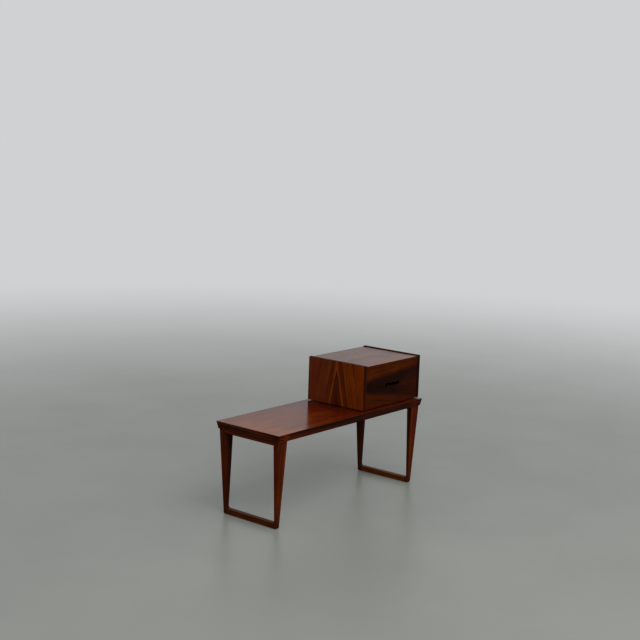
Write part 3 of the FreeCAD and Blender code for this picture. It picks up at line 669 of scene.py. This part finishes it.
def make_end_pieces(end, sign):
    """The rim rail at one end of the seat, dark at its front corner, and the case's edge band there."""
    node = f"seat_{end}_end_rail"
    make_rim_rail(node, ALONG_Y, pith_near(node, 0.05 * sign, 0, -0.06), 0.006, BROWN_RAIL, [DARK_CORNER])
    node = f"case_{end}_edge_band"
    eased_board(node, EDGE_BAND_ARRIS, finished_wood(
        f"{node}_rosewood", node, ALONG_Z, pith_near(node, 0.02, 0.05, 0),
        bands=EDGE_BANDS[end], ring_width=0.005, wear=0.08,
    ))


def make_long_rails():
    """The front and back rails of the rim, golden over the left leg and red over the right one."""
    for side, turn in LONG_SIDES:
        node = f"seat_{side}_rail"
        pith = pith_near(node, 0, 0.06 * turn, 0.05)
        make_rim_rail(node, ALONG_X, pith, 0.007, DARK_RAIL, [GOLDEN_LEFT_END, RED_RIGHT_END])


# Veneered boards

FRONT_GOLD, FRONT_RED = paint(68, 26, 2), paint(56, 18, 3)
FRONT_GLOSS = 1.06
CASE_TOP_BANDS = [
    (0.30, paint(52, 22, 12)), (0.44, paint(72, 32, 14)), (0.56, paint(88, 40, 10)), (0.68, GOLDEN),
]
GOLDEN_TOP_FRONT = (-ALONG_Y, 0.04, 0.14, paint(122, 52, 14), 0.5)
RED_RIGHT_OF_FRONTS = (ALONG_X, 0.36, 0.50, FRONT_RED, 0.35)
BROWN_LOWER_FRONT = (-ALONG_Z, -0.510, -0.455, paint(52, 18, 4), 0.6)
BROWN_BACK_HALF = (ALONG_Y, 0.030, 0.060, paint(84, 34, 17), 0.75)

# Colours over the depth in the log: the sides' pointed figure and the fronts' dark heart
SIDE_FIGURE = [
    (0.000, paint(63, 20, 13)), (0.014, paint(60, 21, 11)), (0.027, paint(70, 27, 6)),
    (0.033, paint(58, 22, 4)), (0.0365, paint(104, 44, 8)), (0.041, paint(112, 50, 12)),
    (0.0465, paint(104, 43, 8)), (0.0510, paint(64, 24, 5)), (0.057, paint(74, 27, 8)),
    (0.068, paint(72, 26, 9)), (0.074, paint(94, 39, 2)), (0.084, paint(100, 43, 2)),
    (0.087, paint(80, 28, 3)), (0.090, paint(98, 42, 2)), (0.098, paint(104, 44, 2)),
    (0.101, paint(80, 27, 3)), (0.106, paint(98, 40, 2)), (0.130, paint(100, 42, 2)),
    (0.133, paint(78, 26, 3)), (0.138, paint(98, 39, 2)), (0.200, GOLDEN),
]
FRONT_FIGURE = [
    (-0.050, paint(50, 19, 6)), (-0.024, paint(40, 15, 7)), (-0.008, paint(30, 12, 6)),
    (0.003, paint(24, 10, 5)), (0.010, paint(27, 10, 7)), (0.017, paint(31, 11, 8)),
    (0.026, paint(47, 16, 6)), (0.036, FRONT_GOLD), (0.085, FRONT_GOLD),
]


def make_seat_panel():
    """The seat: polished on top, with a plainer veneer underneath."""
    node = "seat_panel"
    pith = pith_near(node, 0, 0.03, -0.12)
    underside = finished_wood(
        "seat_backing_veneer", node, ALONG_X, pith, bands=BROWN_RAIL, ring_width=0.012, wear=0.0,
        polish=0.45,
    )
    # The top's tones: painted reflection towards the left end and front left corner; at the right, deeper
    # red wood and painted shade beside the case
    upper = finished_wood(
        "seat_veneer", node, ALONG_X, pith, bands=SEAT_BANDS, ring_width=0.012, streaks=0.3,
        tones=[REFLECTION_TOWARDS_LEFT_END, REFLECTION_AT_FRONT_LEFT, RED_AND_SHADE_BY_CASE], wear=0.0, gloss=POLISHED, polish=0.16, relief=0.12,
    )
    eased_board(node, SEAT_ARRIS, underside, upper)


def make_case_top():
    """The top board: its upper face is polished, its front edge is as dark as the fronts below it."""
    node = "case_top"
    pith = pith_near(node, 0, 0.02, -0.05)
    edge = finished_wood(
        "case_top_edge", node, ALONG_X, pith, bands=[(0.30, FRONT_RED), (0.55, FRONT_GOLD)],
        light=FRONT_GOLD, wear=0.1,
    )
    upper = finished_wood(
        "case_top_veneer", node, ALONG_X, pith, bands=CASE_TOP_BANDS, ring_width=0.009, streaks=0.5,
        tones=[GOLDEN_TOP_FRONT], wear=0.0, gloss=POLISHED, polish=0.20, relief=0.15,
    )
    eased_board(node, CASE_TOP_ARRIS, edge, upper)


def make_case_sides():
    """Both sides show a pointed figure: two golden stripes that meet under the top, dark wood between.

    They are brown in their back half, dark at the back edge and black on the face towards the drawers.
    """
    for end, sign in ENDS:
        node = f"case_{end}_side"
        low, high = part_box(node)
        outer_face, inner_face = (high.x, low.x) if sign > 0 else (low.x, high.x)
        foot_of_figure = Vector((outer_face - sign * 0.002, 0.002, low.z))
        inwards = -sign * ALONG_X
        inner_reach = inwards.x * inner_face
        tones = [
            BROWN_BACK_HALF,
            (ALONG_Y, high.y - 0.007, high.y - 0.001, HEART, 0.7),
            (inwards, inner_reach - 0.006, inner_reach - 0.003, BLACK_VEIN, 0.85),
        ]
        eased_board(node, CASE_SIDE_ARRIS, finished_wood(
            f"{node}_veneer", node, ALONG_Z, foot_of_figure, rings=SIDE_FIGURE, waviness=0.002,
            narrowing=0.2, streaks=0.6, lipped=ALONG_X, lipping=BLACK_VEIN, wear=0.0, tones=tones,
        ))


def make_drawer_fronts():
    """One sheet of veneer over both fronts: golden, with a dark heart that widens to the right."""
    low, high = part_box("lower_drawer_front")
    heart_start = Vector((low.x, low.y + 0.001, high.z + 0.009))
    heart_droops = Vector((1, 0, -0.045)).normalized()
    for drawer in DRAWERS:
        node = f"{drawer}_front"
        eased_board(node, FRONT_ARRIS, finished_wood(
            f"{node}_veneer", node, heart_droops, heart_start, rings=FRONT_FIGURE, ring_width=0.005,
            waviness=0.006, narrowing=-0.13, fray=0.030, streaks=0.9, light=FRONT_GOLD, lipped=ALONG_Y,
            lipping=paint(32, 12, 4), wear=0.05, gloss=FRONT_GLOSS,
            tones=[RED_RIGHT_OF_FRONTS, BROWN_LOWER_FRONT],
        ))


# Plain wood and plywood

PALE_WOOD, PALE_WOOD_DARK = paint(196, 164, 122), paint(150, 112, 74)
PLY_PALE, PLY_DARK = paint(184, 150, 108), paint(132, 96, 62)


def make_plain_boards():
    """The unfinished boards, each cut from another place in its log."""
    grains = {
        "seat_cross_rail": ALONG_Y,
        "case_bottom": ALONG_X,
        "case_divider": ALONG_X,
        "case_left_spacer": ALONG_Y,
        "case_right_spacer": ALONG_Y,
    }
    for drawer in DRAWERS:
        grains[f"{drawer}_left_side"] = ALONG_Y
        grains[f"{drawer}_right_side"] = ALONG_Y
        grains[f"{drawer}_back"] = ALONG_X
    for order, (node, grain) in enumerate(grains.items()):
        pith = pith_near(node, 0.07 + 0.01 * order, 0.05, -0.06)
        eased_board(node, PLAIN_ARRIS, plain_board(
            f"{node}_wood", node, grain, pith, PALE_WOOD, PALE_WOOD_DARK,
        ))


def make_plywood():
    """The case's back and the drawers' bottoms, with their layers showing on the edges."""
    boards = [("case_back", ALONG_Z, ALONG_Y)]
    boards += [(f"{drawer}_bottom", ALONG_X, ALONG_Z) for drawer in DRAWERS]
    for node, grain, layered in boards:
        eased_board(node, PLYWOOD_ARRIS, plain_board(
            f"{node}_plywood", node, grain, pith_near(node, 0.05, 0.06, 0.07), PLY_PALE, PLY_DARK, layered,
        ))


def dress_dowels():
    """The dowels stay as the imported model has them: only their end grain could ever show."""
    material = plain_board("dowel_wood", "case_dowels", ALONG_X, (0, 0.02, 0), PALE_WOOD, PALE_WOOD_DARK)
    for node in ("frame_dowels", "case_dowels"):
        mesh = frame["nodes"][node].data
        mesh.materials.clear()
        mesh.materials.append(material)


# Screws: one tree makes them all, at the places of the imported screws

SLOT_WIDTH, SLOT_DEPTH = 0.0010, 0.0010
HEAD_FACETS, SHANK_FACETS = 32, 16
# Head and shank are two closed shells, this far apart so that none of their faces coincide
SHELL_GAP = 0.0001


def make_screw_tree(steel):
    """A slotted screw at each point of a mesh, its head looking along the axis, its slot at any angle."""
    tree = bpy.data.node_groups.new("slotted_screws", "GeometryNodeTree")
    tree.is_modifier = True
    inputs = [("Geometry", "Geometry"), ("Axis", "Vector"), ("Seed", "Int")]
    inputs += [(title, "Float") for title in (
        "Head Radius", "Head Height", "Neck Radius", "Shank Radius", "Shank Length", "Slot Width",
        "Slot Depth",
    )]
    for title, kind in inputs:
        tree.interface.new_socket(title, in_out="INPUT", socket_type=f"NodeSocket{kind}")
    tree.interface.new_socket("Geometry", in_out="OUTPUT", socket_type="NodeSocketGeometry")
    nodes = Nodes(tree)
    given = nodes.add("NodeGroupInput").outputs

    def lifted(shape, height):
        """A shape moved along the screw's own axis."""
        offset = nodes.add("ShaderNodeCombineXYZ")
        nodes.feed(offset.inputs[2], height)
        return nodes.made(
            "GeometryNodeTransform", {}, geometry=shape, translation=offset.outputs[0],
        ).outputs[0]

    head = nodes.made(
        "GeometryNodeMeshCone", {}, vertices=HEAD_FACETS, radius_bottom=given["Neck Radius"],
        radius_top=given["Head Radius"], depth=given["Head Height"],
    )
    head = lifted(head.outputs[0], nodes.maths("MULTIPLY", given["Head Height"], -1.0))
    slot_size = nodes.add("ShaderNodeCombineXYZ")
    right_across = nodes.maths("MULTIPLY", given["Head Radius"], 2.2)
    half_above = nodes.maths("MULTIPLY", given["Slot Depth"], 2.0)
    for socket, length in zip(slot_size.inputs, (right_across, given["Slot Width"], half_above)):
        nodes.feed(socket, length)
    slot = nodes.made("GeometryNodeMeshCube", {}, size=slot_size.outputs[0])
    slotted = nodes.add("GeometryNodeMeshBoolean", operation="DIFFERENCE", solver="EXACT")
    nodes.feed(slotted.inputs["Mesh 1"], head)
    nodes.feed(slotted.inputs["Mesh 2"], slot.outputs[0])
    shank = nodes.made(
        "GeometryNodeMeshCylinder", {}, vertices=SHANK_FACETS, radius=given["Shank Radius"],
        depth=given["Shank Length"],
    )
    below_head = nodes.maths("MULTIPLY_ADD", given["Shank Length"], -0.5, -SHELL_GAP)
    below_head = nodes.maths("SUBTRACT", below_head, given["Head Height"])
    whole = nodes.add("GeometryNodeJoinGeometry")
    nodes.feed(whole.inputs[0], slotted.outputs["Mesh"])
    nodes.feed(whole.inputs[0], lifted(shank.outputs[0], below_head))

    any_angle = nodes.made("FunctionNodeRandomValue", {"data_type": "FLOAT"}, seed=given["Seed"])
    nodes.feed(any_angle.inputs[3], math.pi)
    turn = nodes.made("FunctionNodeAxisAngleToRotation", {}, axis=(0, 0, 1), angle=any_angle.outputs[1])
    upright = nodes.made("FunctionNodeAlignRotationToVector", {"axis": "Z"}, vector=given["Axis"])
    turned = nodes.add("FunctionNodeRotateRotation", rotation_space="LOCAL")
    nodes.feed(turned.inputs[0], upright.outputs[0])
    nodes.feed(turned.inputs[1], turn.outputs[0])
    placed = nodes.made(
        "GeometryNodeInstanceOnPoints", {}, points=given["Geometry"], instance=whole.outputs[0],
        rotation=turned.outputs[0],
    )
    real = nodes.made("GeometryNodeRealizeInstances", {}, geometry=placed.outputs[0])
    painted = nodes.made("GeometryNodeSetMaterial", {}, geometry=real.outputs[0])
    painted.inputs["Material"].default_value = steel
    nodes.feed(nodes.add("NodeGroupOutput").inputs[0], painted.outputs[0])
    return tree


def screw_boxes(node):
    """The lowest and highest corner of each screw in a node, in the order of their places."""
    screws = merged(node)
    unseen = set(screws.verts)
    boxes = []
    while unseen:
        waiting = [unseen.pop()]
        points = []
        while waiting:
            vertex = waiting.pop()
            points.append(vertex.co.copy())
            near = {edge.other_vert(vertex) for edge in vertex.link_edges} & unseen
            unseen -= near
            waiting.extend(near)
        low = Vector([min(point[axis] for point in points) for axis in range(3)])
        high = Vector([max(point[axis] for point in points) for axis in range(3)])
        boxes.append((low, high))
    screws.free()
    return sorted(boxes, key=lambda box: [round(place, 4) for place in box[0]])


def make_screws(tree, node, axis, head_height, neck_share, shank_share, seed):
    """The screws of one node. The shares are of the head's radius."""
    boxes = screw_boxes(node)
    size = boxes[0][1] - boxes[0][0]
    length = abs(size.dot(axis))
    head_radius = size.x / 2
    heads = [(low + high) / 2 + axis * (length / 2) for low, high in boxes]
    places = bpy.data.meshes.new(f"{node}_places")
    places.from_pydata(heads, [], [])
    maker = new_object(f"{node}_maker", places)
    modifier = maker.modifiers.new("screws", "NODES")
    modifier.node_group = tree
    values = {
        "Axis": tuple(axis),
        "Head Radius": head_radius,
        "Head Height": head_height,
        "Neck Radius": head_radius * neck_share,
        "Shank Radius": head_radius * shank_share,
        "Shank Length": length - head_height - SHELL_GAP,
        "Slot Width": SLOT_WIDTH,
        "Slot Depth": SLOT_DEPTH,
        "Seed": seed,
    }
    for socket in tree.interface.items_tree:
        if socket.in_out == "INPUT" and socket.name in values:
            modifier[socket.identifier] = values[socket.name]
    seen = maker.evaluated_get(bpy.context.evaluated_depsgraph_get())
    mesh = bpy.data.meshes.new_from_object(seen)
    mesh.name = f"{node}_slotted"
    bpy.data.objects.remove(maker)
    finish_piece(new_object(f"{node}_slotted", mesh), node)


# Stage: a pale floor that fades into the pale room, one soft lamp and the camera

ROOM, ROOM_LIGHT = paint(207, 209, 210), paint(188, 188, 187)
FLOOR, FLOOR_CLOUDS = paint(132, 136, 132), paint(128, 132, 128)
FLOOR_RADIUS, FLOOR_DROP, FLOOR_GLOSS = 14.0, 0.0003, 1.3
FADE_START, FADE_END = 1.3, 8.0

LAMP_DIRECTION, LAMP_DISTANCE = Vector((-0.29, -0.62, 0.73)).normalized(), 8.0
LAMP_WIDTH, LAMP_HEIGHT = 8.0, 6.0
LAMP_WATTS, LAMP_COLOUR = 520, (1.0, 0.97, 0.92)

# The camera's turns are in degrees, its lens and sensor in millimetres
CAMERA_PLACE = (-4.200156, -3.376876, 1.711513)
CAMERA_PITCH, CAMERA_ROLL, CAMERA_YAW = 9.15, 1.97, 50.821
LENS, SENSOR = 66.70, 36.0


def make_floor():
    """A wide disc whose far part has the colour of the room, so that it has no edge."""
    mesh = bpy.data.meshes.new("floor")
    disc = bmesh.new()
    bmesh.ops.create_circle(disc, cap_ends=True, segments=128, radius=FLOOR_RADIUS)
    disc.to_mesh(mesh)
    disc.free()
    mesh.transform(Matrix.Translation((0, 0, -FLOOR_DROP)))
    floor = new_object("floor", mesh)
    material, nodes, surface = new_material("floor")
    place = nodes.add("ShaderNodeTexCoord").outputs["Object"]
    cloud = nodes.noise(place, scale=1.3, detail=4.0, roughness=0.6)
    ground = nodes.shader(
        index=FLOOR_GLOSS, base_color=nodes.blend(nodes.eased(cloud, 0.3, 0.7), FLOOR, FLOOR_CLOUDS),
        roughness=nodes.eased(cloud, 0.2, 0.8, 0.30, 0.36),
    )
    glow = nodes.made("ShaderNodeEmission", {}, color=ROOM).outputs[0]
    faded = nodes.eased(nodes.vectors("LENGTH", place), FADE_START, FADE_END)
    both = nodes.add("ShaderNodeMixShader")
    for socket, value in zip(both.inputs, (faded, ground, glow)):
        nodes.feed(socket, value)
    nodes.feed(surface, both.outputs[0])
    mesh.materials.append(material)


def light_room():
    """A pale room all round and one large soft lamp high up in front of the bench."""
    world = bpy.data.worlds.new("room")
    world.use_nodes = True
    nodes = Nodes(world.node_tree)
    ray = nodes.add("ShaderNodeLightPath").outputs
    seen = nodes.maths("MAXIMUM", ray["Is Camera Ray"], ray["Is Glossy Ray"])
    seen = nodes.maths("MAXIMUM", seen, ray["Is Transmission Ray"])
    background = world.node_tree.nodes["Background"]
    nodes.feed(background.inputs["Color"], nodes.blend(seen, ROOM_LIGHT, ROOM))
    background.inputs["Strength"].default_value = 1.0
    bpy.context.scene.world = world
    lamp = bpy.data.lights.new("window", "AREA")
    lamp.shape = "RECTANGLE"
    lamp.size = LAMP_WIDTH
    lamp.size_y = LAMP_HEIGHT
    lamp.energy = LAMP_WATTS
    lamp.color = LAMP_COLOUR
    window = new_object("window", lamp)
    window.location = LAMP_DIRECTION * LAMP_DISTANCE
    window.rotation_euler = LAMP_DIRECTION.to_track_quat("Z", "Y").to_euler()


def place_camera():
    """The photograph's camera: its place, its direction and its angle of view."""
    pitch, roll, yaw = (math.radians(angle) for angle in (CAMERA_PITCH, CAMERA_ROLL, CAMERA_YAW))
    forward = Vector((
        math.sin(yaw) * math.cos(pitch),
        math.cos(yaw) * math.cos(pitch),
        -math.sin(pitch),
    ))
    level = Vector((math.cos(yaw), -math.sin(yaw), 0))
    upward = level.cross(forward)
    right = level * math.cos(roll) + upward * math.sin(roll)
    top = upward * math.cos(roll) - level * math.sin(roll)
    data = bpy.data.cameras.new("camera")
    data.sensor_width = SENSOR
    data.lens = LENS
    camera = new_object("camera", data)
    turned = Matrix((right, top, -forward)).transposed().to_4x4()
    camera.matrix_world = Matrix.Translation(CAMERA_PLACE) @ turned
    bpy.context.scene.camera = camera


for end, sign in ENDS:
    make_leg_frame(end, sign)
    make_end_pieces(end, sign)
make_long_rails()
make_seat_panel()
make_case_top()
make_case_sides()
make_drawer_fronts()
make_plain_boards()
make_plywood()
dress_dowels()
screw_tree = make_screw_tree(screw_steel())
for node, axis, head_height, neck_share, shank_share, seed in (
    ("frame_screws", -ALONG_Z, 0.0026, 0.53, 0.45, 3),
    ("case_screws", -ALONG_Z, 0.0026, 0.47, 0.40, 5),
    ("case_back_screws", ALONG_Y, 0.0018, 0.98, 0.48, 8),
):
    make_screws(screw_tree, node, axis, head_height, neck_share, shank_share, seed)
make_floor()
light_room()
place_camera()
bpy.context.scene.view_settings.view_transform = "Standard"
